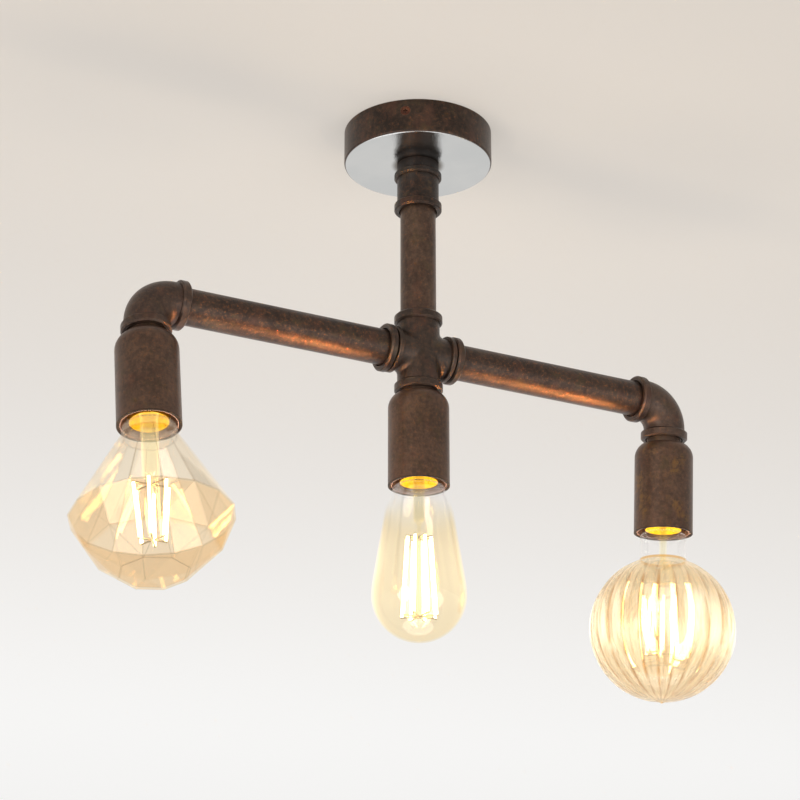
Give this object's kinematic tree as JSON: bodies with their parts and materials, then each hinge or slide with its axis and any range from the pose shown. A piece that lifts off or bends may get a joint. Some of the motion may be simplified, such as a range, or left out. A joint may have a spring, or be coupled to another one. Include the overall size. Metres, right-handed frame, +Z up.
{
  "type": "ceiling light",
  "caption": "Ceiling light of beaded pipe fittings: round canopy, stem, cross, arms with elbows, and lampholder cups with screw-in faceted, pear and ribbed globe bulbs.",
  "frame": {"origin": "centre of the ceiling bracket's bolt circle, on the ceiling plane", "axes": "+Z up into the ceiling, X along the arms, -Y towards the side that the picture shows"},
  "size_m": [0.5086, 0.1454, 0.3891],
  "materials": {
    "aged_bronze": "dark mottled antique bronze, satin",
    "satin_bronze": "satin antique bronze",
    "zinc_steel": "zinc-plated",
    "brass": "plain brass",
    "gold_cap": "bright yellow cap",
    "black_phenolic": "moulded black",
    "pale_ceramic": "glazed pale",
    "white_plastic": "moulded white",
    "dark_insulator": "black glass",
    "amber_glass": "clear amber",
    "clear_glass": "clear",
    "filament": "glowing filament",
    "nickel_wire": "nickel wire",
    "lead_sleeve": "insulated wire"
  },
  "bodies": {
    "fixture": {"canopy": "satin_bronze", "ceiling_bracket": "zinc_steel", "canopy_side_screws": "aged_bronze", "canopy_nipple": "zinc_steel", "nipple_washer": "zinc_steel", "canopy_locknut": "zinc_steel", "terminal_block": "white_plastic", "block_screw": "zinc_steel", "earth_screw": "brass", "top_coupling": "aged_bronze", "stem_tube": "aged_bronze", "cross_fitting": "aged_bronze", "left_arm_tube": "aged_bronze", "right_arm_tube": "aged_bronze", "left_elbow": "aged_bronze", "right_elbow": "aged_bronze", "holder_locknuts": "zinc_steel", "left_reducer_bush": "aged_bronze", "left_lampholder_cup": "aged_bronze", "left_lampholder_body": "black_phenolic", "left_lampholder_sleeve": "pale_ceramic", "left_screw_shell": "brass", "left_centre_contact": "brass", "left_leads": "lead_sleeve", "centre_reducer_bush": "aged_bronze", "centre_lampholder_cup": "aged_bronze", "centre_lampholder_body": "black_phenolic", "centre_lampholder_sleeve": "pale_ceramic", "centre_screw_shell": "brass", "centre_centre_contact": "brass", "centre_leads": "lead_sleeve", "right_reducer_bush": "aged_bronze", "right_lampholder_cup": "aged_bronze", "right_lampholder_body": "black_phenolic", "right_lampholder_sleeve": "pale_ceramic", "right_screw_shell": "brass", "right_centre_contact": "brass", "right_leads": "lead_sleeve"},
    "diamond_base": {"diamond_cap_contact": "brass", "diamond_cap_insulator": "dark_insulator"},
    "diamond_bulb": {"diamond_cap": "gold_cap", "diamond_glass": "amber_glass", "diamond_glass_stem": "clear_glass", "diamond_filaments": "filament", "diamond_support_wires": "nickel_wire"},
    "pear_base": {"pear_cap_contact": "brass", "pear_cap_insulator": "dark_insulator"},
    "pear_bulb": {"pear_cap": "gold_cap", "pear_glass": "amber_glass", "pear_glass_stem": "clear_glass", "pear_filaments": "filament", "pear_support_wires": "nickel_wire"},
    "globe_base": {"globe_cap_contact": "brass", "globe_cap_insulator": "dark_insulator"},
    "globe_bulb": {"globe_cap": "gold_cap", "globe_glass": "amber_glass", "globe_glass_stem": "clear_glass", "globe_filaments": "filament", "globe_support_wires": "nickel_wire"}
  },
  "joints": [
    {"name": "diamond_lift", "type": "slide", "parent": "fixture", "child": "diamond_base", "axis": [0, -0.1736, -0.9848], "range_m": [0, 0.0164]},
    {"name": "diamond_turn", "type": "hinge", "parent": "diamond_base", "child": "diamond_bulb", "pos_m": [-0.2025, -0.01372, -0.2488], "axis": [0, -0.1736, -0.9848], "range_deg": [0, 1620]},
    {"name": "pear_lift", "type": "slide", "parent": "fixture", "child": "pear_base", "axis": [0, 0, -1], "range_m": [0, 0.0164]},
    {"name": "pear_turn", "type": "hinge", "parent": "pear_base", "child": "pear_bulb", "pos_m": [0, 0, -0.25], "axis": [0, 0, -1], "range_deg": [0, 1620]},
    {"name": "globe_lift", "type": "slide", "parent": "fixture", "child": "globe_base", "axis": [0, 0.0872, -0.9962], "range_m": [0, 0.0164]},
    {"name": "globe_turn", "type": "hinge", "parent": "globe_base", "child": "globe_bulb", "pos_m": [0.2025, 0.00688, -0.2497], "axis": [0, 0.0872, -0.9962], "range_deg": [0, 1620]}
  ],
  "couplings": [
    {"joint": "diamond_lift", "follows": "diamond_turn", "m_per_rad": 0.00057757},
    {"joint": "pear_lift", "follows": "pear_turn", "m_per_rad": 0.00057757},
    {"joint": "globe_lift", "follows": "globe_turn", "m_per_rad": 0.00057757}
  ]
}
